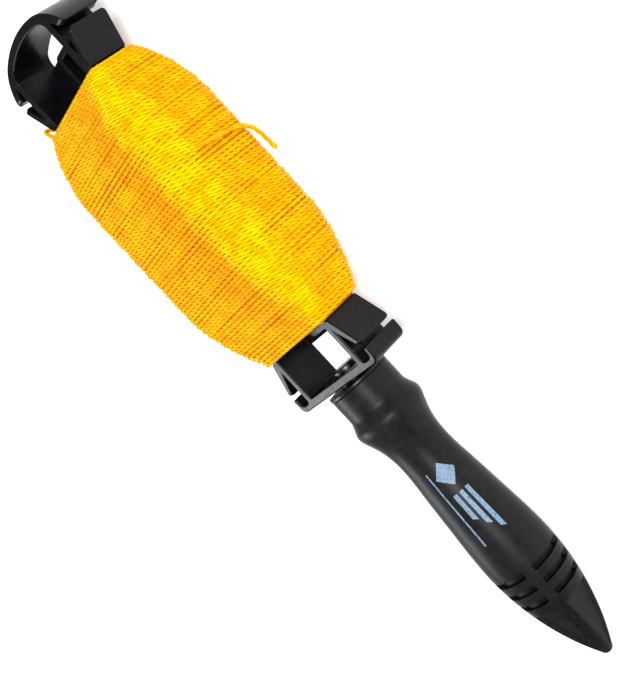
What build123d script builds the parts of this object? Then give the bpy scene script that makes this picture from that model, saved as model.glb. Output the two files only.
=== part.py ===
from build123d import *
import os
from math import asin, cos, pi, radians, sin, sqrt, tan

# A builder's line reel with a spinning handle. Millimetres. X runs along the spin axis, from the hanging
# arch towards the handle's point. Y runs across the two rails. Z runs through the reel's depth, and +Z is
# the open front of the frame. The origin is on the spin axis, at the middle of the object's length.

# Lengths along the spin axis
ARCH_REACH = 26.2  # crown of the hanging arch to the first turn of line
WINDING_LENGTH = 104.0
FOOT_REACH = 19.6  # last turn of line to the outer face of the end plate
HANDLE_LENGTH = 120.8

# Reel frame
RAIL_SPAN = 36.0  # over the outer faces of the rails
RAIL_WALL = 2.5
REEL_DEPTH = 16.0
ARCH_WALL = 3.0
CROWN_RADIUS = 47.0
CROWN_HALF_WIDTH = 13.0  # where the crown's shallow curve turns into the shoulder
ARCH_HALF_WIDTH = 24.4  # to the tips of the arch's two tails
TAIL_TIP_REACH = 14.2  # tails' tips to the first turn
LIP_REACH = 12.0  # lip's tip to the nearest turn
LIP_ROOT = 4.6  # where a lip leaves its rail
LIP_HALF_WIDTH = 24.0
LIP_WALL = 1.8
LIP_FOOT_RISE = 0.9  # how far a lip's outer face stands off the rail beside the line
PLATE_WALL = 3.1
HOOK_HALF_WIDTH = 24.4
HOOK_REACH = 6.0  # height of a hook over the end plate's outer face
HOOK_WALL = 1.9
HOOK_HEEL_RADIUS = 2.6
HOOK_BEND_RADIUS = 1.7
POCKET_RADIUS = 1.2  # at the bottom of the pocket between a hook and its rail
TIP_RADIUS = 0.7  # on the ends of the hooks
ARCH_CORNER_RADIUS = 4.0
WINDOW_CORNER_RADIUS = 0.8
PANEL_CORNER_RADIUS = 1.6  # on the free corners of the lips and tails, seen from outside
PLATE_ROUNDING = 0.6  # along the end plate's front and back
EDGE_BREAK = 0.25
FLOOR_WALL = 1.4
FLOOR_TO_CROWN = 9.7  # the floor's end to the crown's outer face
FLOOR_TO_PLATE = 15.8  # the floor's other end to the end plate's outer face
RIB_WIDTH = 9.0
RIB_WALL = 2.0
RIB_HEIGHT = 6.5
RIB_INSET = 1.5  # from each end of the floor

# Line
LINE_DIAMETER = 1.5
WINDING_BUILD = 10.4  # thickness of the packed turns over the frame, at mid length
WINDING_END_BUILD = 1.7  # and at both ends
BUILD_TAPER = 30.0  # length over which the build rises at each end
ARCH_END_FULLNESS = 2.2
FOOT_END_FULLNESS = 1.7
SEAT_GAP = 0.05

# Pivot
PIN_RADIUS = 2.0
PIN_HEAD_RADIUS = 5.0
PIN_HEAD_HEIGHT = 1.1
PIN_HEAD_ROUNDING = 0.6
PIN_LENGTH = 24.0  # under the head
RUNNING_GAP = 0.05  # radial, between the pin and the end plate's hole
AXIAL_PLAY = 0.05
WASHER_RADIUS = 4.6
WASHER_WALL = 0.6
THRUST_RADIUS = 6.0
THRUST_WALL = 0.8
FLANGE_RADIUS = 11.5
FLANGE_WALL = 1.2
FLANGE_ROUNDING = 0.25
PLUG_RADIUS = 8.0
PLUG_LENGTH = 16.0
LOCK_NUT_RADIUS = 4.4
LOCK_NUT_WALL = 0.5

# Handle: distance from the neck's mouth and radius
HANDLE_PROFILE = [
    (8.6, 11.3),
    (13.7, 13.0),
    (19.2, 11.65),
    (24.5, 10.1),
    (31.5, 9.5),
    (42.0, 10.25),
    (58.0, 11.65),
    (76.0, 12.78),
]
POINT_RADIUS = 94.2  # the long curve from the end of the profile to the nose
NOSE_START = 119.0
MOUTH_LEAD = 0.25
BORE_RADIUS = 6.2
BORE_DEPTH = 88.0
GROOVE_STATIONS = [79.7, 85.0, 90.4]
GROOVE_WIDTH = 2.3
GROOVE_DEPTH = 1.9
SPINE_WIDTH = 3.7
SPINE_ANGLES = [45.0, 135.0, 225.0, 315.0]
FACET_START = 95.4
FACET_BREAK = 108.0  # a facet is steeper from here on
FACET_DEPTH = 0.26  # share of the local radius taken off at the middle of a facet, up to its break
FACET_RUN_OUT = 2.4  # a facet's distance from the axis where it runs out at the point

# Stations along X
TOTAL_LENGTH = (
    ARCH_REACH + WINDING_LENGTH + FOOT_REACH + AXIAL_PLAY + THRUST_WALL + FLANGE_WALL + HANDLE_LENGTH
)
X_CROWN = -TOTAL_LENGTH / 2
X_FIRST = X_CROWN + ARCH_REACH
X_LAST = X_FIRST + WINDING_LENGTH
X_PLATE = X_LAST + FOOT_REACH
X_PLATE_IN = X_PLATE - PLATE_WALL
X_THRUST = X_PLATE + AXIAL_PLAY
X_FLANGE = X_THRUST + THRUST_WALL
X_NECK = X_FLANGE + FLANGE_WALL
X_POINT = X_NECK + HANDLE_LENGTH
RAIL_OUT = RAIL_SPAN / 2
RAIL_IN = RAIL_OUT - RAIL_WALL


def mirrored(face):
    """A flat piece of the frame's outline and its twin on the other rail."""
    return face + mirror(face, about=Plane.XZ)


def polygon(*points):
    return make_face(Polyline(*points, close=True))


def arch_outline():
    """The hanging arch with its two tails: a shallow crown that turns through round shoulders."""
    crown_angle = asin(CROWN_HALF_WIDTH / CROWN_RADIUS)
    x_shoulder = X_CROWN + CROWN_RADIUS * (1 - cos(crown_angle))
    right = Vector(x_shoulder, CROWN_HALF_WIDTH)
    left = Vector(x_shoulder, -CROWN_HALF_WIDTH)
    tail = Vector(X_FIRST - TAIL_TIP_REACH, ARCH_HALF_WIDTH)
    crown = ThreePointArc(left, (X_CROWN, 0), right)
    shoulder = TangentArc(right, tail, tangent=(sin(crown_angle), cos(crown_angle)))
    run_out = shoulder % 1
    end = tail + run_out * 12
    side = Line(tail, end)
    back = Line(end, (end.X, -end.Y))
    twin = mirror(Wire([shoulder, side]), about=Plane.XZ)
    solid = make_face(Wire([*crown.edges(), *shoulder.edges(), *side.edges(), *back.edges(), *twin.edges()]))
    band = solid - offset(solid, -ARCH_WALL)
    keep = Pos((X_CROWN + tail.X) / 2, 0) * Rectangle(tail.X - X_CROWN, 4 * ARCH_HALF_WIDTH)
    return band & keep


def lip_outline(x_near, outward):
    """One flared lip. It leaves the rail beside the line and opens away from it."""
    x_root = x_near + outward * LIP_ROOT
    x_tip = x_near + outward * LIP_REACH
    return polygon(
        (x_near, RAIL_OUT - 1),
        (x_near, RAIL_OUT + LIP_FOOT_RISE),
        (x_tip, LIP_HALF_WIDTH),
        (x_tip + outward * 0.3, LIP_HALF_WIDTH - LIP_WALL),
        (x_root, RAIL_OUT),
        (x_root, RAIL_OUT - 1),
    )


def hook_outline():
    """The end plate's upturned end, which faces a lip's tip."""
    x_inner = X_PLATE - HOOK_WALL - 0.5
    hook = polygon(
        (X_PLATE, RAIL_IN),
        (X_PLATE, HOOK_HALF_WIDTH - 0.4),
        (X_PLATE - HOOK_REACH, HOOK_HALF_WIDTH),
        (X_PLATE - HOOK_REACH, HOOK_HALF_WIDTH - HOOK_WALL),
        (x_inner, HOOK_HALF_WIDTH - HOOK_WALL),
        (x_inner, RAIL_IN),
    )
    heel = hook.vertices().sort_by_distance(Vector(X_PLATE, HOOK_HALF_WIDTH))[0]
    hook = fillet(heel, HOOK_HEEL_RADIUS)
    bend = hook.vertices().sort_by_distance(Vector(x_inner, HOOK_HALF_WIDTH - HOOK_WALL))[0]
    hook = fillet(bend, HOOK_BEND_RADIUS)
    tips = [v for v in hook.vertices() if abs(v.X - (X_PLATE - HOOK_REACH)) < 0.01]
    return fillet(tips, TIP_RADIUS)


def frame_outline():
    """The outline that runs through the whole depth: arch, rails, lips, end plate and hooks."""
    x_rail = X_CROWN + ARCH_WALL + 2.5
    rail_length = X_PLATE - 0.5 - x_rail
    rail = Pos(x_rail + rail_length / 2, (RAIL_OUT + RAIL_IN) / 2) * Rectangle(rail_length, RAIL_WALL)
    plate = Pos(X_PLATE - PLATE_WALL / 2, 0) * Rectangle(PLATE_WALL, RAIL_SPAN)
    outline = arch_outline() + mirrored(rail) + plate + mirrored(hook_outline())
    outline += mirrored(lip_outline(X_FIRST, -1))
    outline += mirrored(lip_outline(X_LAST, 1))
    return outline


def soften_corners(outline):
    """Rounds the corners inside the arch, in the end window and at the bottom of the hooks' pockets."""
    inner = [
        v
        for v in outline.vertices()
        if abs(abs(v.Y) - RAIL_IN) < 0.01 and v.X < X_FIRST - LIP_REACH
    ]
    outline = fillet(inner, ARCH_CORNER_RADIUS)
    window = [
        v
        for v in outline.vertices()
        if abs(abs(v.Y) - RAIL_IN) < 0.01 and abs(v.X - X_PLATE_IN) < 0.01
    ]
    outline = fillet(window, WINDOW_CORNER_RADIUS)
    x_inner = X_PLATE - HOOK_WALL - 0.5
    pockets = [
        v
        for v in outline.vertices()
        if abs(abs(v.Y) - RAIL_OUT) < 0.01 and abs(v.X - x_inner) < 0.01
    ]
    return fillet(pockets, POCKET_RADIUS)


def front_and_back_edges(solid):
    half = REEL_DEPTH / 2
    return [
        e
        for e in solid.edges()
        if abs(abs(e.center().Z) - half) < 0.001 and abs(e.bounding_box().size.Z) < 0.001
    ]


def is_panel_end(edge):
    """Whether a front or back edge is the short free end of a lip or a tail."""
    ends = (X_FIRST - LIP_REACH, X_LAST + LIP_REACH, X_FIRST - TAIL_TIP_REACH)
    centre = edge.center()
    near_an_end = any(abs(centre.X - x) < 0.5 for x in ends)
    stands_out = abs(centre.Y) > RAIL_OUT + 2.5
    return near_an_end and stands_out and edge.geom_type == GeomType.LINE and 1.5 < edge.length < 4.5


def reel_frame():
    """The black moulding that carries the line."""
    outline = soften_corners(frame_outline())
    body = extrude(outline, REEL_DEPTH / 2, both=True)
    ends = [e for e in front_and_back_edges(body) if is_panel_end(e)]
    body = fillet(ends, PANEL_CORNER_RADIUS)
    rims = [
        e
        for e in front_and_back_edges(body)
        if abs(e.center().X - X_PLATE) < 0.01 and e.length > RAIL_SPAN
    ]
    body = fillet(rims, PLATE_ROUNDING)
    sharp = [e for e in front_and_back_edges(body) if abs(e.center().X - X_PLATE) > 3.5]
    body = chamfer(sharp, EDGE_BREAK)
    x_floor = X_CROWN + FLOOR_TO_CROWN
    x_floor_end = X_PLATE - FLOOR_TO_PLATE
    floor_length = x_floor_end - x_floor
    x_mid = (x_floor + x_floor_end) / 2
    z_back = -REEL_DEPTH / 2
    floor = Pos(x_mid, 0, z_back + FLOOR_WALL / 2) * Box(floor_length, 2 * RAIL_IN + 1, FLOOR_WALL)
    rib_length = floor_length - 2 * RIB_INSET
    rib = Pos(x_mid, 0, z_back + RIB_HEIGHT / 2) * Box(rib_length, RIB_WIDTH, RIB_HEIGHT)
    rib = fillet(rib.edges().filter_by(Axis.Z), 1.8)
    well = Box(rib_length - 2 * RIB_WALL, RIB_WIDTH - 2 * RIB_WALL, RIB_HEIGHT)
    well = Pos(x_mid, 0, z_back + FLOOR_WALL + RIB_HEIGHT / 2) * fillet(well.edges().filter_by(Axis.Z), 0.8)
    hole = Pos(X_PLATE, 0, 0) * Rot(0, 90, 0) * Cylinder(PIN_RADIUS + RUNNING_GAP, 4 * PLATE_WALL)
    return body + floor + (rib - well) - hole


def build_at(x):
    """Thickness of the packed line over the frame at one station."""
    from_arch = (x - X_FIRST) / BUILD_TAPER
    from_foot = (X_LAST - x) / BUILD_TAPER
    share = 1.0
    if from_arch < 1:
        share = 1 - (1 - from_arch) ** ARCH_END_FULLNESS
    if from_foot < 1:
        share = min(share, 1 - (1 - from_foot) ** FOOT_END_FULLNESS)
    return WINDING_END_BUILD + (WINDING_BUILD - WINDING_END_BUILD) * share


def line_winding():
    """The packed turns as one barrel, hollow where the frame passes through it."""
    stations = [0, 2.5, 6, 10, 15, 21, 30, 52, 74, 83, 89, 94, 98, 101.5, WINDING_LENGTH]
    sections = []
    for station in stations:
        x = X_FIRST + station
        build = build_at(x)
        section = RectangleRounded(RAIL_SPAN + 2 * build, REEL_DEPTH + 2 * build, build)
        sections.append(Plane(origin=(x, 0, 0), x_dir=(0, 1, 0), z_dir=(1, 0, 0)) * section)
    barrel = loft(sections, ruled=True)
    x_mid = (X_FIRST + X_LAST) / 2
    core = Box(WINDING_LENGTH + 2, RAIL_SPAN + 2 * SEAT_GAP, REEL_DEPTH + 2 * SEAT_GAP)
    return barrel - Pos(x_mid, 0, 0) * core


def free_end_points():
    """The loose end: over the side of the winding, round its back edge, then off along the reel."""
    corner_y = RAIL_OUT
    ride = WINDING_BUILD + LINE_DIAMETER / 2 + 0.15
    x = X_FIRST
    return [
        (x + 40.2, corner_y + ride, 8.0),
        (x + 41.1, corner_y + ride + 0.1, -0.5),
        (x + 42.0, corner_y + ride + 0.1, -7.0),
        (x + 43.0, corner_y + ride - 0.6, -11.8),
        (x + 44.5, corner_y + ride - 1.8, -15.2),
        (x + 47.2, corner_y + ride - 2.4, -17.0),
        (x + 51.0, corner_y + ride - 2.4, -17.3),
        (x + 55.0, corner_y + ride - 1.9, -17.2),
    ]


def free_end_radii(points):
    """Each bend's radius: as large as the shorter of its two runs allows."""
    radii = []
    for before, at, after in zip(points, points[1:], points[2:]):
        run_in = Vector(at) - Vector(before)
        run_out = Vector(after) - Vector(at)
        turn = radians(run_in.get_angle(run_out))
        radii.append(0.45 * min(run_in.length, run_out.length) / tan(turn / 2))
    return radii


def line_free_end():
    """The loose end as a plain tube along straight runs and tangent arcs."""
    points = free_end_points()
    radii = free_end_radii(points)
    path = FilletPolyline(*points, radius=radii)
    start = Plane(origin=path @ 0, z_dir=path % 0)
    tube = sweep(start * Circle(LINE_DIAMETER / 2), path=path)
    print("free end: length", round(path.length, 2), "radii", [round(r, 1) for r in radii])
    print("free end: volume", round(tube.volume, 2), "of", round(pi * LINE_DIAMETER**2 / 4 * path.length, 2))
    return tube


def along_x(x, radius, length):
    """A round bar on the spin axis, from station x towards the handle's point."""
    return Pos(x + length / 2, 0, 0) * Rot(0, 90, 0) * Cylinder(radius, length)


def pivot_pin():
    """The headed pin: a flat, rounded head in the window, and a shank with a small lead at its far end."""
    x_seat = X_PLATE_IN - AXIAL_PLAY - WASHER_WALL
    head = along_x(x_seat - PIN_HEAD_HEIGHT, PIN_HEAD_RADIUS, PIN_HEAD_HEIGHT)
    head = fillet(head.edges().sort_by(Axis.X)[0], PIN_HEAD_ROUNDING)
    shank = along_x(x_seat, PIN_RADIUS, PIN_LENGTH)
    shank = chamfer(shank.edges().sort_by(Axis.X)[-1], 0.4)
    return head + shank


def washer(x, outer, wall, bore):
    ring = along_x(x, outer, wall) - along_x(x - 1, bore, wall + 2)
    rims = [e for e in ring.edges() if e.geom_type == GeomType.CIRCLE and e.radius > bore + 0.1]
    return chamfer(rims, 0.12)


def neck_plug():
    """The plug in the handle's mouth: a thin flange, a barrel with three grip rings, and the pin's hole."""
    flange = along_x(X_FLANGE, FLANGE_RADIUS, FLANGE_WALL)
    rims = [e for e in flange.edges() if e.geom_type == GeomType.CIRCLE]
    flange = fillet(rims, FLANGE_ROUNDING)
    barrel = along_x(X_NECK, PLUG_RADIUS - 0.15, PLUG_LENGTH)
    for station in (3.0, 7.0, 11.0):
        barrel += along_x(X_NECK + station, PLUG_RADIUS, 1.6)
    return flange + barrel - along_x(X_FLANGE - 1, PIN_RADIUS, PLUG_LENGTH + 4)


def lock_nut():
    """A push-on nut: a thin disc with a dished, slotted mouth that bites the pin behind the plug."""
    x = X_NECK + PLUG_LENGTH
    disc = along_x(x, LOCK_NUT_RADIUS, LOCK_NUT_WALL)
    dish = Pos(x + LOCK_NUT_WALL + 0.4, 0, 0) * Rot(0, 90, 0) * Cone(3.2, PIN_RADIUS + 0.4, 0.8)
    nut = disc + dish - along_x(x - 1, PIN_RADIUS, 4)
    for turn in (0, 60, 120):
        slot = Box(4, 0.4, 6.4)
        nut -= Rot(turn, 0, 0) * Pos(x + 0.6, 0, 0) * slot
    return nut


def point_radius(station):
    """The radius of the handle's pointed end at a distance from the handle's mouth."""
    start, widest = HANDLE_PROFILE[-1]
    run = station - start
    return widest - POINT_RADIUS + sqrt(POINT_RADIUS**2 - run**2)


def handle_body():
    """The turned shape up to its widest part: straight neck, bulge, waist and long swelling."""
    neck_radius = HANDLE_PROFILE[0][1]
    mouth = Vector(X_NECK, neck_radius - MOUTH_LEAD)
    neck_start = Vector(X_NECK + MOUTH_LEAD, neck_radius)
    points = [Vector(X_NECK + s, r) for s, r in HANDLE_PROFILE]
    foot = Vector(points[-1].X, 0)
    outline = [
        Line((X_NECK, 0), mouth),
        Line(mouth, neck_start),
        Line(neck_start, points[0]),
        Spline(*points, tangents=[(1, 0), (1, 0)], tangent_scalars=[1.0, 1.0]),
        Line(points[-1], foot),
        Line(foot, (X_NECK, 0)),
    ]
    return revolve(make_face(outline), Axis.X, 360)


def handle_point():
    """The pointed end before its grooves and facets: one long curve closed by a round nose."""
    start, widest = HANDLE_PROFILE[-1]
    middle = (start + NOSE_START) / 2
    near = Vector(X_NECK + start, widest)
    halfway = Vector(X_NECK + middle, point_radius(middle))
    nose = Vector(X_NECK + NOSE_START, point_radius(NOSE_START))
    tip = Vector(X_POINT, 0)
    rise = nose.Y
    run = tip.X - nose.X
    cap_radius = (rise**2 + run**2) / (2 * run)
    half_angle = asin(rise / cap_radius) / 2
    on_cap = (tip.X - cap_radius + cap_radius * cos(half_angle), cap_radius * sin(half_angle))
    outline = [
        Line((near.X, 0), near),
        ThreePointArc(near, halfway, nose),
        ThreePointArc(nose, on_cap, tip),
        Line(tip, (near.X, 0)),
    ]
    return revolve(make_face(outline), Axis.X, 360)


def spine_slabs(start, length):
    """The four radial slabs that stay standing as the handle's spines."""
    slabs = []
    for angle in SPINE_ANGLES:
        slab = Pos(start + length / 2, 15, 0) * Box(length, 30, SPINE_WIDTH)
        slabs.append(Rot(angle, 0, 0) * slab)
    return slabs


def grip_grooves():
    """Three rings of grooves, broken by the four spines."""
    grooves = []
    for station in GROOVE_STATIONS:
        x = X_NECK + station - GROOVE_WIDTH / 2
        floor = point_radius(station) - GROOVE_DEPTH
        ring = along_x(x, 16, GROOVE_WIDTH) - along_x(x - 1, floor, GROOVE_WIDTH + 2)
        for slab in spine_slabs(x - 1, GROOVE_WIDTH + 2):
            ring -= slab
        grooves.append(ring)
    return grooves


def point_facets():
    """Four flat facets between the spines, sloping in to the point."""
    x_start = X_NECK + FACET_START
    x_break = X_NECK + FACET_BREAK
    x_end = X_POINT + 2
    keep = 1 - FACET_DEPTH
    d_start = point_radius(FACET_START) * keep
    d_break = point_radius(FACET_BREAK) * keep
    run_out = NOSE_START - FACET_BREAK
    d_end = d_break + (FACET_RUN_OUT - d_break) * (x_end - x_break) / run_out
    facets = []
    for angle in SPINE_ANGLES:
        side = polygon(
            (x_start - 1.6, 16.0),
            (x_start, d_start),
            (x_break, d_break),
            (x_end, d_end),
            (x_end, 16.0),
        )
        cutter = extrude(side, 16, both=True)
        cutter = Rot(angle + 45, 0, 0) * cutter
        quarter_at = SPINE_WIDTH / 2
        quarter = Pos(x_break, 10 + quarter_at, 10 + quarter_at) * Box(40, 20, 20)
        facets.append(cutter & (Rot(angle, 0, 0) * quarter))
    return facets


def handle_shell():
    """The grip: one hollow moulding, bored from its mouth and closed at its point."""
    point = handle_point()
    for cut in grip_grooves() + point_facets():
        point -= cut
    bore = along_x(X_NECK + PLUG_LENGTH - 1, BORE_RADIUS, BORE_DEPTH - PLUG_LENGTH + 1)
    bore = fillet(bore.edges().sort_by(Axis.X)[-1], 4.0)
    mouth = along_x(X_NECK - 1, PLUG_RADIUS, PLUG_LENGTH + 1)
    return handle_body() + point - mouth - bore


def main():
    os.makedirs("parts", exist_ok=True)
    nodes = {
        "reel_frame": reel_frame(),
        "line_winding": line_winding(),
        "line_free_end": line_free_end(),
        "pivot_pin": pivot_pin(),
        "inner_washer": washer(X_PLATE_IN - AXIAL_PLAY - WASHER_WALL, WASHER_RADIUS, WASHER_WALL, PIN_RADIUS),
        "thrust_washer": washer(X_THRUST, THRUST_RADIUS, THRUST_WALL, PIN_RADIUS),
        "neck_plug": neck_plug(),
        "lock_nut": lock_nut(),
        "handle_shell": handle_shell(),
    }
    for name, solid in nodes.items():
        solid.label = name
        export_step(solid, f"parts/{name}.step")


main()
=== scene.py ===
import math

import bpy
import numpy as np
from mathutils import Matrix, Vector
from mathutils.bvhtree import BVHTree


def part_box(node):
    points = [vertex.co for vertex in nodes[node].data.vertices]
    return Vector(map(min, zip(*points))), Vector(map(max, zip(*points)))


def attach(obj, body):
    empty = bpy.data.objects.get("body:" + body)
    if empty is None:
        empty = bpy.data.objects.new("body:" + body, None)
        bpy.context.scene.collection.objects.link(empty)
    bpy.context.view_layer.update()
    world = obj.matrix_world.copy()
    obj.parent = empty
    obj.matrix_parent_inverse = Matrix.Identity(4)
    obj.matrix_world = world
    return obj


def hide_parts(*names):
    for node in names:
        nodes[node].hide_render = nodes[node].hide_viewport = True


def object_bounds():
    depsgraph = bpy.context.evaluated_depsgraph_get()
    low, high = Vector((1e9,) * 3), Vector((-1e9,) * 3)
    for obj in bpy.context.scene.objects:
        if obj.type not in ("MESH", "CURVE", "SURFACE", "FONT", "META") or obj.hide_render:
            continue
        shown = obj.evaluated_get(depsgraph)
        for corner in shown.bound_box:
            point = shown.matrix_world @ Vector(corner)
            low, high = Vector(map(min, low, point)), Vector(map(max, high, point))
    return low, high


# A builder's line reel with a spinning handle. Metres, in the CAD frame: X along the spin axis towards the
# handle's point, Y across the rails, +Z out of the frame's open front.

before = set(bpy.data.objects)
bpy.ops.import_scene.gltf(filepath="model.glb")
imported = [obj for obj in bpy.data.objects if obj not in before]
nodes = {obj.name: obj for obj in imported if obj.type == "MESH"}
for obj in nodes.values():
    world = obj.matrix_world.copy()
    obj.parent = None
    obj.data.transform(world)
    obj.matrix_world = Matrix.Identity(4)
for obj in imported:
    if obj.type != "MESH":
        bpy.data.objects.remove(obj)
cad_low, cad_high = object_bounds()

MM = 0.001
LINE_R = 0.75 * MM
LAY = 8.2 * MM  # length of line in which its plies make one turn
PITCH = 1.4 * MM
START_SHARE = 0.71  # the first turn begins near the corner between the open front and the -Y rail
VALLEY = 0.66  # reach of the line between two plies, as a share of its radius
TURN_STATIONS = 420  # points worked out for each turn
TOP_STEP = 0.45 * MM  # length between the rings of the outer line
END_BUILD = 1.7 * MM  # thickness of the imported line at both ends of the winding
BUILD_TAPER = 30 * MM  # length over which it grows from there to its full thickness
ARCH_END_FULLNESS = 2.2
FOOT_END_FULLNESS = 1.7
FLAT_BUILD = 4 * MM  # a winding no thicker than this wouldn't bulge
FRONT_SWELL = 0.45 * MM  # scale of the turns' bulge in the middle of the flat front and back
DRIFT_FADE = 6  # turns at each end of a layer over which its drift dies away
MOST_LIFT = 0.36 * MM  # the most that a crowded turn climbs or sinks
SLACK = 0.10 * MM  # how far any turn stands out or in
SINK = 0.70 * MM  # scale of the dips in a layer, of which the deepest is about half of it
CORE_DEPTH = 2.6 * MM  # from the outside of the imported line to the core
CORE_LEAST = 0.25 * MM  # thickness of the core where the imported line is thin
CORE_INSIDE = 0.06 * MM  # room between the core and the rails
EDGE_FADE = 9.5 * MM  # length over which the line turns paler towards the front edge, a painted highlight
HAIR_HALF_WIDTH = 0.022 * MM
MARK_START = 35 * MM  # from the handle's mouth to the printed mark
MARK_FACING = math.radians(37.0)  # from +Y towards +Z
MARK_RADIUS = 11.0 * MM  # about the handle's radius under the mark
MARK_LIFT = 0.03 * MM
FOCAL_TO_HEIGHT = 1200 / 682  # the lens's focal length over the picture's height
SENSOR_MM = 36

wound_low, wound_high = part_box("line_winding")
frame_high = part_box("reel_frame")[1]
shell_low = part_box("handle_shell")[0]
X_FIRST, X_LAST = wound_low.x, wound_high.x
HALF_DEPTH = frame_high.z
BUILD = wound_high.z - HALF_DEPTH
RAIL_OUT = wound_high.y - BUILD


def add_object(name, data):
    obj = bpy.data.objects.new(name, data)
    bpy.context.scene.collection.objects.link(obj)
    return obj


# ---------------------------------------------------------------- materials


def new_material(name):
    mat = bpy.data.materials.new(name)
    mat.use_nodes = True
    tree = mat.node_tree
    return mat, tree, tree.nodes["Principled BSDF"]


def add(tree, kind, **values):
    """One shader node. Inputs are given by name with spaces as underscores."""
    node = tree.nodes.new(kind)
    for key, value in values.items():
        if hasattr(node, key):
            setattr(node, key, value)
        else:
            node.inputs[key.replace("_", " ")].default_value = value
    return node


def link(tree, out, into):
    tree.links.new(out, into)


def ramp(tree, fac, stops):
    node = tree.nodes.new("ShaderNodeValToRGB")
    elements = node.color_ramp.elements
    while len(elements) < len(stops):
        elements.new(0.5)
    for element, (place, value) in zip(elements, stops):
        element.position = place
        element.color = value if len(value) == 4 else (*value, 1)
    link(tree, fac, node.inputs["Fac"])
    return node


def grey(value):
    return (value, value, value, 1)


def moulded_black(name, dark, light, roughness, shine, grain_size, grain_depth, scuffs):
    """Black moulded plastic: fine grain, patchy gloss, hairline scuffs, and painted shade that darkens its
    hollows.
    """
    mat, tree, bsdf = new_material(name)
    place = add(tree, "ShaderNodeTexCoord")
    at = place.outputs["Object"]
    clouds = add(tree, "ShaderNodeTexNoise", Scale=55.0, Detail=5.0, Roughness=0.6)
    link(tree, at, clouds.inputs["Vector"])
    rubbed = add(tree, "ShaderNodeTexNoise", Scale=420.0, Detail=8.0, Roughness=0.72)
    link(tree, at, rubbed.inputs["Vector"])
    mixed = add(tree, "ShaderNodeMath", operation="MULTIPLY")
    link(tree, clouds.outputs["Fac"], mixed.inputs[0])
    link(tree, rubbed.outputs["Fac"], mixed.inputs[1])
    colour = ramp(tree, mixed.outputs[0], [(0.12, dark), (0.42, light)])
    # Painted shade: ambient occlusion darkens the base colour in grooves and inner corners.
    hollow = add(tree, "ShaderNodeAmbientOcclusion", samples=8, Distance=0.004)
    hollow_shade = ramp(tree, hollow.outputs["AO"], [(0.35, grey(0.1)), (0.85, grey(1.0))])
    shaded_colour = add(tree, "ShaderNodeMix", data_type="RGBA", blend_type="MULTIPLY")
    shaded_colour.inputs["Factor"].default_value = 1.0
    link(tree, colour.outputs["Color"], shaded_colour.inputs[6])
    link(tree, hollow_shade.outputs["Color"], shaded_colour.inputs[7])
    link(tree, shaded_colour.outputs[2], bsdf.inputs["Base Color"])
    glosses = [(0.3, grey(roughness - 0.07)), (0.75, grey(roughness + 0.12))]
    gloss = ramp(tree, rubbed.outputs["Fac"], glosses)
    link(tree, gloss.outputs["Color"], bsdf.inputs["Roughness"])
    stretch = add(tree, "ShaderNodeMapping")
    stretch.inputs["Scale"].default_value = (40, 900, 620)
    stretch.inputs["Rotation"].default_value = (0.3, 0.5, 0.2)
    link(tree, at, stretch.inputs["Vector"])
    hairlines = add(tree, "ShaderNodeTexNoise", Scale=1.0, Detail=3.0, Roughness=0.5)
    link(tree, stretch.outputs["Vector"], hairlines.inputs["Vector"])
    scratch = ramp(tree, hairlines.outputs["Fac"], [(0.62, grey(0)), (0.7, grey(1))])
    grain = add(tree, "ShaderNodeTexNoise", Scale=grain_size, Detail=2.0, Roughness=0.55)
    link(tree, at, grain.inputs["Vector"])
    height = add(tree, "ShaderNodeMath", operation="MULTIPLY_ADD")
    link(tree, scratch.outputs["Color"], height.inputs[0])
    height.inputs[1].default_value = -scuffs
    link(tree, grain.outputs["Fac"], height.inputs[2])
    soft_edge = add(tree, "ShaderNodeBevel", samples=6, Radius=0.0004)
    bump = add(tree, "ShaderNodeBump", Strength=grain_depth, Distance=0.00006)
    link(tree, soft_edge.outputs["Normal"], bump.inputs["Normal"])
    link(tree, height.outputs[0], bump.inputs["Height"])
    link(tree, bump.outputs["Normal"], bsdf.inputs["Normal"])
    bsdf.inputs["Specular IOR Level"].default_value = shine
    return mat


def bare_metal(name, dark, light):
    mat, tree, bsdf = new_material(name)
    place = add(tree, "ShaderNodeTexCoord")
    spots = add(tree, "ShaderNodeTexNoise", Scale=900.0, Detail=4.0, Roughness=0.6)
    link(tree, place.outputs["Object"], spots.inputs["Vector"])
    colour = ramp(tree, spots.outputs["Fac"], [(0.3, dark), (0.7, light)])
    link(tree, colour.outputs["Color"], bsdf.inputs["Base Color"])
    gloss = ramp(tree, spots.outputs["Fac"], [(0.3, grey(0.28)), (0.7, grey(0.42))])
    link(tree, gloss.outputs["Color"], bsdf.inputs["Roughness"])
    bump = add(tree, "ShaderNodeBump", Strength=0.25, Distance=0.00003)
    link(tree, spots.outputs["Fac"], bump.inputs["Height"])
    link(tree, bump.outputs["Normal"], bsdf.inputs["Normal"])
    bsdf.inputs["Metallic"].default_value = 1.0
    return mat


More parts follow.
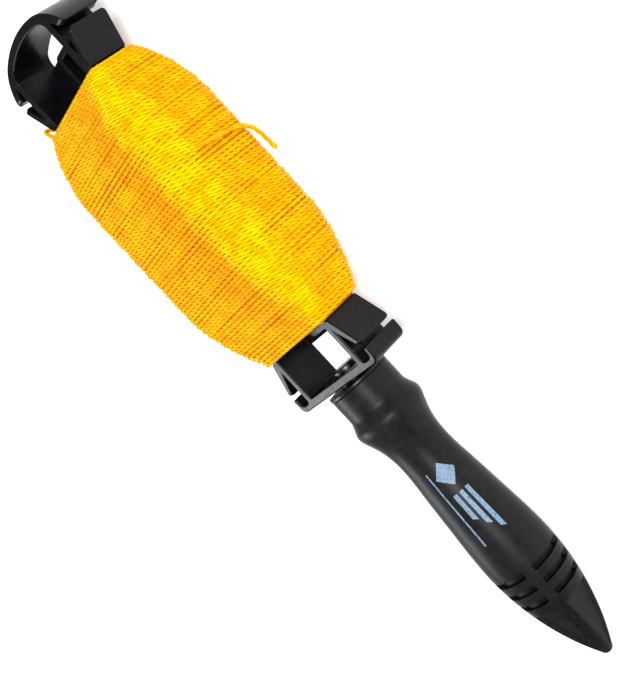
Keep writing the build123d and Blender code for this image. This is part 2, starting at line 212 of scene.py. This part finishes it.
def front_edge_highlight(tree, place):
    """How near a point of the winding is to the edge between its open front and its +Y side, from 0 to 1:
    the share of painted highlight there.
    """
    wander = add(tree, "ShaderNodeTexNoise", Scale=60.0, Detail=3.0)
    link(tree, place, wander.inputs["Vector"])
    split = add(tree, "ShaderNodeSeparateXYZ")
    link(tree, place, split.inputs["Vector"])
    reach = []
    for axis, start in (("Y", 0.70 * RAIL_OUT), ("Z", 0.45 * HALF_DEPTH)):
        near = add(tree, "ShaderNodeMapRange", interpolation_type="SMOOTHSTEP")
        link(tree, split.outputs[axis], near.inputs["Value"])
        near.inputs["From Min"].default_value = start
        near.inputs["From Max"].default_value = start + EDGE_FADE
        reach.append(near.outputs["Result"])
    nearer = add(tree, "ShaderNodeMath", operation="MINIMUM")
    link(tree, reach[0], nearer.inputs[0])
    link(tree, reach[1], nearer.inputs[1])
    varied = add(tree, "ShaderNodeMath", operation="MULTIPLY_ADD", use_clamp=True)
    link(tree, wander.outputs["Fac"], varied.inputs[0])
    varied.inputs[1].default_value = 0.14
    link(tree, nearer.outputs[0], varied.inputs[2])
    shift = add(tree, "ShaderNodeMath", operation="SUBTRACT", use_clamp=True)
    link(tree, varied.outputs[0], shift.inputs[0])
    shift.inputs[1].default_value = 0.05
    return shift.outputs[0]


def front_strip_shade(tree, place, highlight_share):
    """How far a point is on the painted-shade strip of the open front beside its +Y edge, from 0 to 1."""
    split = add(tree, "ShaderNodeSeparateXYZ")
    link(tree, place, split.inputs["Vector"])
    away = add(tree, "ShaderNodeMath", operation="SUBTRACT")
    away.inputs[0].default_value = 1.0
    link(tree, highlight_share, away.inputs[1])
    share = away.outputs[0]
    for axis, start, end in (("Y", 0.0, 0.45 * RAIL_OUT), ("Z", 1.1 * HALF_DEPTH, 1.7 * HALF_DEPTH)):
        reach = add(tree, "ShaderNodeMapRange", interpolation_type="SMOOTHSTEP")
        link(tree, split.outputs[axis], reach.inputs["Value"])
        reach.inputs["From Min"].default_value = start
        reach.inputs["From Max"].default_value = end
        both = add(tree, "ShaderNodeMath", operation="MULTIPLY")
        link(tree, share, both.inputs[0])
        link(tree, reach.outputs["Result"], both.inputs[1])
        share = both.outputs[0]
    return share


def twisted_line(name, low, mid, high, pale, painted_glow):
    """Yellow nylon line, with a faint painted glow: its emission lifts the line's shaded parts towards
    orange.

    The UV map runs along the line, and round it with the plies, so the fibres follow the lay."""
    mat, tree, bsdf = new_material(name)
    place = add(tree, "ShaderNodeTexCoord")
    stretch = add(tree, "ShaderNodeMapping")
    stretch.inputs["Scale"].default_value = (0.45, 30.0, 1.0)
    link(tree, place.outputs["UV"], stretch.inputs["Vector"])
    fibres = add(tree, "ShaderNodeTexNoise", Scale=1.0, Detail=4.0, Roughness=0.6)
    link(tree, stretch.outputs["Vector"], fibres.inputs["Vector"])
    patches = add(tree, "ShaderNodeTexNoise", Scale=240.0, Detail=3.0, Roughness=0.5)
    link(tree, place.outputs["Object"], patches.inputs["Vector"])
    split = add(tree, "ShaderNodeSeparateXYZ")
    link(tree, place.outputs["UV"], split.inputs["Vector"])
    thirds = add(tree, "ShaderNodeMath", operation="MULTIPLY")
    link(tree, split.outputs["Y"], thirds.inputs[0])
    thirds.inputs[1].default_value = 3.0
    wave = add(tree, "ShaderNodeMath", operation="PINGPONG")
    link(tree, thirds.outputs[0], wave.inputs[0])
    wave.inputs[1].default_value = 0.5
    crown = ramp(tree, wave.outputs[0], [(0.0, grey(0.0)), (0.17, grey(0.75)), (0.5, grey(1.0))])
    tone = add(tree, "ShaderNodeMath", operation="MULTIPLY_ADD")
    link(tree, fibres.outputs["Fac"], tone.inputs[0])
    tone.inputs[1].default_value = 0.45
    spread = add(tree, "ShaderNodeMath", operation="MULTIPLY")
    link(tree, patches.outputs["Fac"], spread.inputs[0])
    spread.inputs[1].default_value = 0.55
    link(tree, spread.outputs[0], tone.inputs[2])
    deep = ramp(tree, tone.outputs[0], [(0.34, low), (0.48, mid), (0.62, high)])
    # Painted highlight: paler tones for the winding's edge between the open front and the +Y side.
    light = ramp(tree, tone.outputs[0], [(0.34, mid), (0.46, high), (0.60, pale)])
    highlight_share = front_edge_highlight(tree, place.outputs["Object"])
    # Painted shade: a darker orange strip on the open front beside the painted highlight.
    shaded = add(tree, "ShaderNodeMix", data_type="RGBA", blend_type="MULTIPLY")
    link(tree, front_strip_shade(tree, place.outputs["Object"], highlight_share), shaded.inputs["Factor"])
    link(tree, deep.outputs["Color"], shaded.inputs[6])
    shaded.inputs[7].default_value = (0.96, 0.76, 1.0, 1)
    # The painted highlight is mixed in towards the front edge.
    colour = add(tree, "ShaderNodeMix", data_type="RGBA")
    link(tree, highlight_share, colour.inputs["Factor"])
    link(tree, shaded.outputs[2], colour.inputs[6])
    link(tree, light.outputs["Color"], colour.inputs[7])
    # Painted shade: the colour darkens in the valleys between the plies.
    ply_valley_shade = add(tree, "ShaderNodeMix", data_type="RGBA")
    link(tree, crown.outputs["Color"], ply_valley_shade.inputs["Factor"])
    ply_valley_shade.inputs[6].default_value = (0.95 * low[0], 0.8 * low[1], low[2], 1)
    link(tree, colour.outputs[2], ply_valley_shade.inputs[7])
    link(tree, ply_valley_shade.outputs[2], bsdf.inputs["Base Color"])
    gloss = ramp(tree, fibres.outputs["Fac"], [(0.3, grey(0.46)), (0.7, grey(0.66))])
    link(tree, gloss.outputs["Color"], bsdf.inputs["Roughness"])
    height = add(tree, "ShaderNodeMath", operation="MULTIPLY_ADD")
    link(tree, fibres.outputs["Fac"], height.inputs[0])
    height.inputs[1].default_value = 0.35
    link(tree, crown.outputs["Color"], height.inputs[2])
    bump = add(tree, "ShaderNodeBump", Strength=0.8, Distance=0.00012)
    link(tree, height.outputs[0], bump.inputs["Height"])
    link(tree, bump.outputs["Normal"], bsdf.inputs["Normal"])
    bsdf.inputs["Specular IOR Level"].default_value = 0.14
    bsdf.inputs["Subsurface Weight"].default_value = 0.35
    bsdf.inputs["Subsurface Radius"].default_value = (1.0, 0.55, 0.06)
    bsdf.inputs["Subsurface Scale"].default_value = 0.0012
    # Painted glow: emission that lifts the shaded parts of the line towards orange.
    bsdf.inputs["Emission Color"].default_value = (1.0, 0.33, 0.0, 1)
    bsdf.inputs["Emission Strength"].default_value = painted_glow
    bsdf.inputs["Specular Tint"].default_value = (1.0, 0.72, 0.08, 1)
    return mat


def stray_fibre():
    """Single filaments, paler than the line because light passes through them."""
    mat, tree, bsdf = new_material("stray_fibre")
    place = add(tree, "ShaderNodeTexCoord")
    tone = add(tree, "ShaderNodeTexNoise", Scale=300.0, Detail=2.0)
    link(tree, place.outputs["Object"], tone.inputs["Vector"])
    colour = ramp(tree, tone.outputs["Fac"], [(0.3, (0.95, 0.55, 0.01)), (0.7, (1.0, 0.78, 0.12))])
    link(tree, colour.outputs["Color"], bsdf.inputs["Base Color"])
    bsdf.inputs["Roughness"].default_value = 0.5
    return mat


def pale_print():
    """The pad-printed mark: thin pale blue ink, worn through in specks."""
    mat, tree, bsdf = new_material("pale_print")
    place = add(tree, "ShaderNodeTexCoord")
    specks = add(tree, "ShaderNodeTexNoise", Scale=1500.0, Detail=6.0, Roughness=0.7)
    link(tree, place.outputs["Object"], specks.inputs["Vector"])
    inks = [(0.36, (0.03, 0.04, 0.05)), (0.46, (0.15, 0.25, 0.38)), (0.8, (0.25, 0.38, 0.53))]
    colour = ramp(tree, specks.outputs["Fac"], inks)
    link(tree, colour.outputs["Color"], bsdf.inputs["Base Color"])
    gloss = ramp(tree, specks.outputs["Fac"], [(0.3, grey(0.45)), (0.7, grey(0.6))])
    link(tree, gloss.outputs["Color"], bsdf.inputs["Roughness"])
    return mat


frame_black = moulded_black(
    "frame_black",
    dark=(0.0015, 0.0018, 0.002),
    light=(0.007, 0.008, 0.0086),
    roughness=0.28,
    shine=0.16,
    grain_size=1700.0,
    grain_depth=0.22,
    scuffs=0.5,
)
grip_black = moulded_black(
    "grip_black",
    dark=(0.006, 0.006, 0.006),
    light=(0.017, 0.017, 0.0165),
    roughness=0.38,
    shine=0.12,
    grain_size=2600.0,
    grain_depth=0.35,
    scuffs=0.25,
)
plug_black = moulded_black(
    "plug_black",
    dark=(0.002, 0.002, 0.0023),
    light=(0.006, 0.006, 0.0065),
    roughness=0.34,
    shine=0.26,
    grain_size=1500.0,
    grain_depth=0.25,
    scuffs=0.3,
)
plated_steel = bare_metal("plated_steel", dark=(0.42, 0.42, 0.43), light=(0.62, 0.62, 0.6))
black_steel = bare_metal("black_steel", dark=(0.025, 0.025, 0.028), light=(0.06, 0.06, 0.064))
yellow = twisted_line(
    "yellow_line",
    low=(0.71, 0.29, 0.0),
    mid=(0.76, 0.43, 0.0),
    high=(0.81, 0.57, 0.0),
    pale=(0.89, 0.82, 0.001),
    painted_glow=0.07,
)
# Painted shade: a darker copy of the line, with a stronger painted glow, for the under layer and the core.
shaded_yellow = twisted_line(
    "shaded_line",
    low=(0.64, 0.17, 0.0),
    mid=(0.71, 0.24, 0.0),
    high=(0.77, 0.31, 0.0),
    pale=(0.82, 0.39, 0.0),
    painted_glow=0.13,
)
fibre = stray_fibre()
ink = pale_print()

for node, material in (
    ("reel_frame", frame_black),
    ("handle_shell", grip_black),
    ("neck_plug", plug_black),
    ("thrust_washer", plug_black),
    ("inner_washer", black_steel),
    ("pivot_pin", black_steel),
    ("lock_nut", plated_steel),
):
    nodes[node].data.materials.clear()
    nodes[node].data.materials.append(material)


# ---------------------------------------------------------------- the wound line


def build_at(x):
    """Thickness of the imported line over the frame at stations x."""
    from_arch = np.clip((x - X_FIRST) / BUILD_TAPER, 0, 1)
    from_foot = np.clip((X_LAST - x) / BUILD_TAPER, 0, 1)
    share = np.minimum(
        1 - (1 - from_arch) ** ARCH_END_FULLNESS, 1 - (1 - from_foot) ** FOOT_END_FULLNESS
    )
    return END_BUILD + (BUILD - END_BUILD) * share


def section(build, share):
    """Points and outward normals on rounded rectangles round the rails, at shares of the way round.

    The way round starts at the middle of the flat back and goes by +Y, the open front and -Y."""
    arc = build * math.pi / 2
    runs = [
        np.full_like(build, RAIL_OUT),
        arc,
        np.full_like(build, 2 * HALF_DEPTH),
        arc,
        np.full_like(build, 2 * RAIL_OUT),
        arc,
        np.full_like(build, 2 * HALF_DEPTH),
        arc,
        np.full_like(build, RAIL_OUT),
    ]
    total = sum(runs)
    along = (share % 1.0) * total
    y = np.zeros_like(build)
    z = np.zeros_like(build)
    ny = np.zeros_like(build)
    nz = np.zeros_like(build)
    corners = [(1, -1, -90), (1, 1, 0), (-1, 1, 90), (-1, -1, 180)]
    start = np.zeros_like(build)
    for i, run in enumerate(runs):
        here = (along >= start) & (along <= start + run)
        t = along - start
        if i % 2:
            cy, cz, first = corners[i // 2]
            angle = np.radians(first) + t / build
            py = cy * RAIL_OUT + build * np.cos(angle)
            pz = cz * HALF_DEPTH + build * np.sin(angle)
            qy, qz = np.cos(angle), np.sin(angle)
        else:
            side = (i // 2) % 4
            ones = np.ones_like(build)
            if side == 0:
                offset = t if i == 0 else t - RAIL_OUT
                py, pz, qy, qz = offset, -HALF_DEPTH - build, 0 * ones, -ones
            elif side == 1:
                py, pz, qy, qz = RAIL_OUT + build, t - HALF_DEPTH, ones, 0 * ones
            elif side == 2:
                py, pz, qy, qz = RAIL_OUT - t, HALF_DEPTH + build, 0 * ones, ones
            else:
                py, pz, qy, qz = -RAIL_OUT - build, HALF_DEPTH - t, -ones, 0 * ones
        y, z = np.where(here, py, y), np.where(here, pz, z)
        ny, nz = np.where(here, qy, ny), np.where(here, qz, nz)
        start = start + run
    return y, z, ny, nz


def slow_noise(t, seed, octaves=3):
    """A smooth wandering value in about -1 to 1 along t."""
    source = np.random.default_rng(seed)
    value = np.zeros_like(t)
    for octave in range(octaves):
        rate = (0.35 + 0.75 * octave) * (1 + 0.3 * source.random())
        value += np.sin(rate * t + source.random() * 2 * math.pi) / (1 + 0.8 * octave)
    return value / 1.8


def drift_along(t, count, tilt, seed):
    """How far each point of the turns strays along the reel. It dies away at both ends of the layer."""
    way = 2 * math.pi * ((t + START_SHARE) % 1.0)
    lean = np.cos(way - 0.9) * slow_noise(t * 0.55, seed)
    bend = 0.55 * np.cos(2 * way + 0.6) * slow_noise(t * 0.8, seed + 1)
    near_end = np.minimum(t, count - t)
    return tilt * (lean + bend) * np.clip(near_end / DRIFT_FADE, 0, 1)


def rise_and_sink(t, drift, seed):
    """How far each point stands out of its layer. Crowded turns climb and sink in turn."""
    crowding = drift - np.interp(t + 1, t, drift)
    every_other = 1 - 2 * (np.floor(t) % 2)
    lift = np.clip(0.9 * crowding, 0, MOST_LIFT) * every_other
    uneven = SLACK * slow_noise(t * 4.1, seed + 2)
    sunk = SINK * np.clip(slow_noise(t * 1.35, seed + 3) - 0.55, 0, 1)
    return uneven + lift - sunk


def turns_path(depth, pitch, tilt, seed, step):
    """One layer of turns, from the arch's end to the end plate, as points and outward normals."""
    room = X_LAST - X_FIRST - 2.2 * LINE_R
    count = room / pitch
    t = np.linspace(0, count, int(count * TURN_STATIONS))
    drift = drift_along(t, count, tilt, seed)
    x = X_FIRST + 1.1 * LINE_R + pitch * t + drift
    x = np.clip(x, X_FIRST + 0.9 * LINE_R, X_LAST - 0.9 * LINE_R)
    build = build_at(x) - depth - LINE_R + rise_and_sink(t, drift, seed)
    build = np.maximum(build, 0.9 * LINE_R)
    y, z, ny, nz = section(build, (t + START_SHARE) % 1.0)
    swell = FRONT_SWELL * np.clip((BUILD - FLAT_BUILD) / BUILD, 0, 1) * (build / BUILD) ** 2
    wide = np.cos(np.clip(np.abs(y) / RAIL_OUT, 0, 1) * math.pi / 2)
    z = z + nz * swell * wide
    points = np.stack([x, y, z], 1)
    normals = np.stack([np.zeros_like(x), ny, nz], 1)
    return even_out(points, normals, step)


def even_out(points, normals, step):
    """The same path with points at even steps of length."""
    gaps = np.linalg.norm(np.diff(points, axis=0), axis=1)
    length = np.concatenate([[0], np.cumsum(gaps)])
    want = np.linspace(0, length[-1], int(length[-1] / step) + 1)
    points = np.stack([np.interp(want, length, points[:, i]) for i in range(3)], 1)
    normals = np.stack([np.interp(want, length, normals[:, i]) for i in range(3)], 1)
    return points, normals, want


def plied_rings(points, normals, along, sides, taper):
    """Points of the rings of a line of three plies. The rings turn with the lay."""
    tangent = np.gradient(points, axis=0)
    tangent /= np.linalg.norm(tangent, axis=1)[:, None]
    normals = normals - (normals * tangent).sum(1)[:, None] * tangent
    normals /= np.linalg.norm(normals, axis=1)[:, None]
    binormal = np.cross(tangent, normals)
    share = np.arange(sides) / sides
    lobe = 1 - np.abs((3 * share) % 1 - 0.5) * 2
    outline = VALLEY + (1 - VALLEY) * np.sqrt(lobe)
    angle = 2 * math.pi * (share[None, :] + along[:, None] / LAY)
    reach = outline[None, :] * (LINE_R * taper)[:, None]
    verts = (
        points[:, None, :]
        + (reach * np.cos(angle))[:, :, None] * normals[:, None, :]
        + (reach * np.sin(angle))[:, :, None] * binormal[:, None, :]
    )
    return verts.reshape(-1, 3)


def tube_quads(rings, sides):
    """Corners of the faces between neighbouring rings."""
    ring = np.arange(rings - 1)[:, None] * sides
    column = np.arange(sides)[None, :]
    a = ring + column
    b = ring + (column + 1) % sides
    return np.stack([a, b, b + sides, a + sides], 2).reshape(-1, 4)


def line_mesh(name, points, normals, along, per_ply, material, taper=1.0):
    """A line of three twisted plies along a path, as one closed tube with flat ends."""
    sides = 3 * per_ply
    rings = len(points)
    verts = plied_rings(points, normals, along, sides, taper * np.ones(rings))
    quads = tube_quads(rings, sides)
    caps = np.concatenate([np.arange(sides)[::-1], np.arange((rings - 1) * sides, rings * sides)])
    loops = np.concatenate([quads.ravel(), caps])
    starts = np.concatenate([np.arange(len(quads)) * 4, [len(quads) * 4, len(quads) * 4 + sides]])
    mesh = bpy.data.meshes.new(name)
    mesh.vertices.add(len(verts))
    mesh.vertices.foreach_set("co", verts.astype(np.float32).ravel())
    mesh.loops.add(len(loops))
    mesh.loops.foreach_set("vertex_index", loops.astype(np.int32))
    mesh.polygons.add(len(starts))
    mesh.polygons.foreach_set("loop_start", starts.astype(np.int32))
    round_share = np.tile(np.arange(sides) / sides, rings)[loops]
    last = np.where((quads[:, 0] % sides) == sides - 1)[0]
    round_share[last * 4 + 1] = 1.0
    round_share[last * 4 + 2] = 1.0
    length = np.repeat(along / MM, sides)[loops]
    layer = mesh.uv_layers.new(name="lay")
    layer.data.foreach_set("uv", np.stack([length, round_share], 1).astype(np.float32).ravel())
    mesh.update(calc_edges=True)
    mesh.validate()
    mesh.polygons.foreach_set("use_smooth", np.ones(len(mesh.polygons), bool))
    mesh.materials.append(material)
    return add_object(name, mesh)


def nurbs_points(points):
    """Points along a smooth curve from the first point to the last that passes near the rest."""
    curve = bpy.data.curves.new("route", "CURVE")
    curve.dimensions = "3D"
    curve.resolution_u = 24
    spline = curve.splines.new("NURBS")
    spline.points.add(len(points) - 1)
    for point, place in zip(spline.points, points):
        point.co = (*place, 1)
    spline.order_u = 3
    spline.use_endpoint_u = True
    obj = add_object("route", curve)
    mesh = obj.to_mesh()
    found = np.array([v.co for v in mesh.vertices])
    obj.to_mesh_clear()
    bpy.data.objects.remove(obj)
    return found


def with_start_loop(points, normals, step):
    """Puts a small loop before the turns. It stands off the open front's -Y corner, at the arch's end."""
    corner = np.array([X_FIRST, -RAIL_OUT - END_BUILD + LINE_R, HALF_DEPTH + END_BUILD - LINE_R])
    offsets = [
        (4.6, 3.5, -0.8),
        (3.0, 1.6, 0.0),
        (1.2, 0.5, 1.0),
        (-0.8, -0.5, 1.3),
        (-2.0, -1.5, 0.4),
        (-2.0, -2.0, -1.4),
        (-0.8, -1.4, -3.2),
        (0.5, -0.5, -4.6),
    ]
    lead = [corner + MM * np.array(offset) for offset in offsets]
    curve = nurbs_points(lead + [points[0], points[2]])
    joined = np.concatenate([curve, points[3:]])
    both = np.concatenate([np.tile(normals[0], (len(curve), 1)), normals[3:]])
    return even_out(joined, both, step)


top_points, top_normals, top_along = turns_path(
    depth=0.0, pitch=PITCH, tilt=0.65 * MM, seed=7, step=TOP_STEP
)
top_points, top_normals, top_along = with_start_loop(top_points, top_normals, TOP_STEP)
turns = line_mesh("line_turns", top_points, top_normals, top_along, per_ply=4, material=yellow)
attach(turns, "reel")
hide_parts("line_winding")
keep = slice(None, None, 3)  # every third point

# The second layer is a little deeper and wider spaced, and strays in its own way. It wears the line's darker
# copy, a painted shade.
under_points, under_normals, under_along = turns_path(
    depth=0.75 * MM, pitch=1.55 * MM, tilt=-0.9 * MM, seed=23, step=0.5 * MM
)
under = line_mesh(
    "line_under_turns", under_points, under_normals, under_along, per_ply=2, material=shaded_yellow
)
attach(under, "reel")


def loop_round(x, build, around):
    """Points of one closed loop round the rails at station x, at one thickness of packed line."""
    y, z, _, _ = section(np.full(around, build), np.arange(around) / around)
    return np.stack([np.full(around, x), y, z], 1)


def pack_core():
    """The inner layers as one closed sleeve, seen only between the turns, in the line's darker copy as
    painted shade.
    """
    stations = np.linspace(X_FIRST + 0.4 * MM, X_LAST - 0.4 * MM, 90)
    around = 160
    rows = []
    for x in stations:
        build = float(build_at(np.array([x]))[0]) - CORE_DEPTH
        rows.append(loop_round(x, max(build, CORE_LEAST), around))
    for x in (stations[-1], stations[0]):
        rows.append(loop_round(x, CORE_INSIDE, around))
    verts = np.concatenate(rows)
    count = len(rows)
    faces = []
    for i in range(count):
        j = (i + 1) % count
        for k in range(around):
            n = (k + 1) % around
            faces.append((i * around + k, i * around + n, j * around + n, j * around + k))
    mesh = bpy.data.meshes.new("line_core")
    mesh.from_pydata(verts.tolist(), [], faces)
    mesh.update()
    mesh.polygons.foreach_set("use_smooth", np.ones(len(mesh.polygons), bool))
    layer = mesh.uv_layers.new(name="lay")
    index = np.zeros(len(mesh.loops), np.int32)
    mesh.loops.foreach_get("vertex_index", index)
    across, along = verts[index, 1] / MM, verts[index, 0] / MM * 0.3
    layer.data.foreach_set("uv", np.stack([across, along], 1).astype(np.float32).ravel())
    mesh.materials.append(shaded_yellow)
    return add_object("line_core", mesh)


core = pack_core()
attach(core, "reel")


# ---------------------------------------------------------------- the loose end


def loose_end_route():
    """Points of the loose end: over the side of the winding, round its edge, then off along the reel."""
    x = X_FIRST
    y = RAIL_OUT + BUILD + LINE_R + 0.15 * MM
    return [
        (x + 40.2 * MM, y, 8.0 * MM),
        (x + 41.1 * MM, y + 0.1 * MM, -0.5 * MM),
        (x + 42.0 * MM, y + 0.1 * MM, -7.0 * MM),
        (x + 43.0 * MM, y - 0.6 * MM, -11.8 * MM),
        (x + 44.5 * MM, y - 1.8 * MM, -15.2 * MM),
        (x + 47.2 * MM, y - 2.4 * MM, -17.0 * MM),
        (x + 51.0 * MM, y - 2.4 * MM, -17.3 * MM),
        (x + 55.0 * MM, y - 1.9 * MM, -17.2 * MM),
    ]


def sealed_tip(along):
    """The size of the line along the loose end: full, then a little swollen where the cut end was melted."""
    left = along[-1] - along
    swollen = 1 + 0.28 * np.exp(-(((left - 1.1 * MM) / (0.9 * MM)) ** 2))
    rounded = np.sqrt(np.clip(left / (0.8 * MM), 0.04, 1))
    return swollen * rounded


end_points = nurbs_points(loose_end_route())
end_normals = np.tile(np.array([0.6, 0.6, -0.5]), (len(end_points), 1))
end_points, end_normals, end_along = even_out(end_points, end_normals, 0.3 * MM)
tucked = np.clip(1 - end_along / (4.5 * MM), 0, 1) ** 2
end_points[:, 1] -= 2 * LINE_R * tucked  # its start lies in under the outer turns
tip_sizes = sealed_tip(end_along)
loose = line_mesh(
    "line_loose_end", end_points, end_normals, end_along, per_ply=6, material=yellow, taper=tip_sizes
)
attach(loose, "reel")
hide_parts("line_free_end")


# ---------------------------------------------------------------- stray fibres


def stray_fibres(name, points, normals, count, reach, seed):
    """Fine hairs that stand off the line, each a thin bent three-sided sliver."""
    source = np.random.default_rng(seed)
    verts = []
    faces = []
    tangent = np.gradient(points, axis=0)
    tangent /= np.linalg.norm(tangent, axis=1)[:, None]
    for pick in source.integers(2, len(points) - 2, count):
        t = tangent[pick]
        n = normals[pick] / np.linalg.norm(normals[pick])
        b = np.cross(t, n)
        swing = source.uniform(-1.2, 1.2)
        out = math.cos(swing) * n + math.sin(swing) * b
        base = points[pick] + out * LINE_R * 0.8
        lean = source.uniform(-1.4, 1.4) * t + source.uniform(-0.5, 0.5) * b
        length = reach * source.uniform(0.4, 1.0)
        curl = source.normal(0, 0.5, 3)
        middle = base + (out + 0.5 * lean) * length * 0.5
        tip = middle + (0.6 * out + lean + curl) * length * 0.45
        side = np.cross(out, t)
        side /= np.linalg.norm(side)
        first = len(verts)
        for place, w in ((base, HAIR_HALF_WIDTH), (middle, HAIR_HALF_WIDTH * 0.8)):
            verts += [place + side * w, place - side * w, place + t * w]
        verts.append(tip)
        for k in range(3):
            m = (k + 1) % 3
            faces.append((first + k, first + m, first + 3 + m, first + 3 + k))
            faces.append((first + 3 + k, first + 3 + m, first + 6))
        faces.append((first + 2, first + 1, first))
    mesh = bpy.data.meshes.new(name)
    mesh.from_pydata([tuple(v) for v in verts], [], faces)
    mesh.update()
    mesh.materials.append(fibre)
    return add_object(name, mesh)


fuzz = stray_fibres("line_fuzz", top_points, top_normals, count=5200, reach=0.95 * MM, seed=5)
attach(fuzz, "reel")
end_fuzz = stray_fibres("loose_end_fuzz", end_points, end_normals, count=160, reach=1.2 * MM, seed=9)
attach(end_fuzz, "reel")


# ---------------------------------------------------------------- the printed mark


def mark_shapes():
    """A plain generic mark in millimetres, along the handle and across it: a diamond, bars and a rule."""
    shapes = [[(0, 0), (4.5, 4.3), (9, 0), (4.5, -4.3)]]
    for i, length in enumerate((17.5, 14.0, 10.5)):
        y = 3.1 - 2.5 * i
        shapes.append([(11.5, y), (11.5 + length, y), (11.5 + length - 1.2, y - 1.5), (11.5, y - 1.5)])
    shapes.append([(1.0, -5.6), (30.0, -5.6), (30.0, -6.2), (1.0, -6.2)])
    return shapes


def printed_mark():
    """Lays the mark's shapes on the handle as thin skins that follow its curve."""
    shell = nodes["handle_shell"]
    corners = [v.co for v in shell.data.vertices]
    tree = BVHTree.FromPolygons(corners, [p.vertices for p in shell.data.polygons])
    well_outside = 30 * MM
    cells = 26
    verts = []
    faces = []
    for shape in mark_shapes():
        a, b, c, d = [np.array(p, float) for p in shape]
        first = len(verts)
        for i in range(cells + 1):
            for j in range(cells + 1):
                s, t = i / cells, j / cells
                along, across = (1 - t) * ((1 - s) * a + s * b) + t * ((1 - s) * d + s * c)
                angle = MARK_FACING - across * MM / MARK_RADIUS
                out = Vector((0, math.cos(angle), math.sin(angle)))
                x = shell_low.x + MARK_START + along * MM
                hit = tree.ray_cast(Vector((x, 0, 0)) + out * well_outside, -out)[0]
                verts.append(hit + out * MARK_LIFT)
        for i in range(cells):
            for j in range(cells):
                k = first + i * (cells + 1) + j
                faces.append((k, k + 1, k + cells + 2, k + cells + 1))
    mesh = bpy.data.meshes.new("handle_mark")
    mesh.from_pydata(verts, [], faces)
    mesh.update()
    mesh.materials.append(ink)
    return add_object("handle_mark", mesh)


mark = printed_mark()
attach(mark, "handle")


# ---------------------------------------------------------------- studio


def pale_floor():
    mesh = bpy.data.meshes.new("floor")
    floor_z = cad_low.z - 0.2 * MM
    corners = [(x, y, floor_z) for x, y in ((-6, -6), (6, -6), (6, 6), (-6, 6))]
    mesh.from_pydata(corners, [], [(0, 1, 2, 3)])
    floor = add_object("floor", mesh)
    mat, _, bsdf = new_material("pale_floor")
    bsdf.inputs["Base Color"].default_value = (0.8, 0.8, 0.8, 1)
    bsdf.inputs["Emission Color"].default_value = (1, 1, 1, 1)
    bsdf.inputs["Emission Strength"].default_value = 0.5
    bsdf.inputs["Roughness"].default_value = 0.9
    mesh.materials.append(mat)


def soft_sky():
    """A pale horizon, dimmer above it, and bright overhead."""
    world = bpy.data.worlds.new("studio")
    bpy.context.scene.world = world
    world.use_nodes = True
    tree = world.node_tree
    place = add(tree, "ShaderNodeTexCoord")
    split = add(tree, "ShaderNodeSeparateXYZ")
    link(tree, place.outputs["Generated"], split.inputs["Vector"])
    tones = [(0.0, grey(1.0)), (0.1, grey(0.9)), (0.25, grey(0.2)), (0.85, grey(0.8))]
    sky = ramp(tree, split.outputs["Z"], tones)
    link(tree, sky.outputs["Color"], tree.nodes["Background"].inputs["Color"])
    tree.nodes["Background"].inputs["Strength"].default_value = 0.45


def soft_light(name, place, size, power, colour=(1, 1, 1)):
    """A round soft light that shines at the middle of the reel."""
    data = bpy.data.lights.new(name, "AREA")
    data.shape = "DISK"
    data.size = size
    data.energy = power
    data.color = colour
    light = add_object(name, data)
    light.location = place
    light.rotation_mode = "QUATERNION"
    light.rotation_quaternion = (-Vector(place)).to_track_quat("-Z", "Y")


def photo_camera():
    """The photograph's own view: from the front and the +Y side, with the handle low on the right."""
    data = bpy.data.cameras.new("camera")
    camera = add_object("camera", data)
    bpy.context.scene.camera = camera
    data.sensor_width = SENSOR_MM
    data.lens = SENSOR_MM * FOCAL_TO_HEIGHT
    data.clip_start = 0.01
    data.clip_end = 20
    look = Vector((0.0433, -0.8015, -0.5964)).normalized()
    right = Vector((0.6801, 0.4609, -0.5701)).normalized()
    up = right.cross(look).normalized()
    right = look.cross(up).normalized()
    turn = Matrix((right, up, -look)).transposed()
    place = Matrix.Translation((X_FIRST + 89.6 * MM, 306.5 * MM, 231.4 * MM))
    camera.matrix_world = place @ turn.to_4x4()


pale_floor()
soft_sky()
soft_light("front_key", place=(-0.05, 0.70, 0.72), size=0.35, power=11.0)
soft_light("back_strip", place=(0.1, -0.75, 0.6), size=0.5, power=6.5, colour=(0.92, 0.97, 1.0))
photo_camera()
bpy.context.scene.view_settings.view_transform = "Standard"
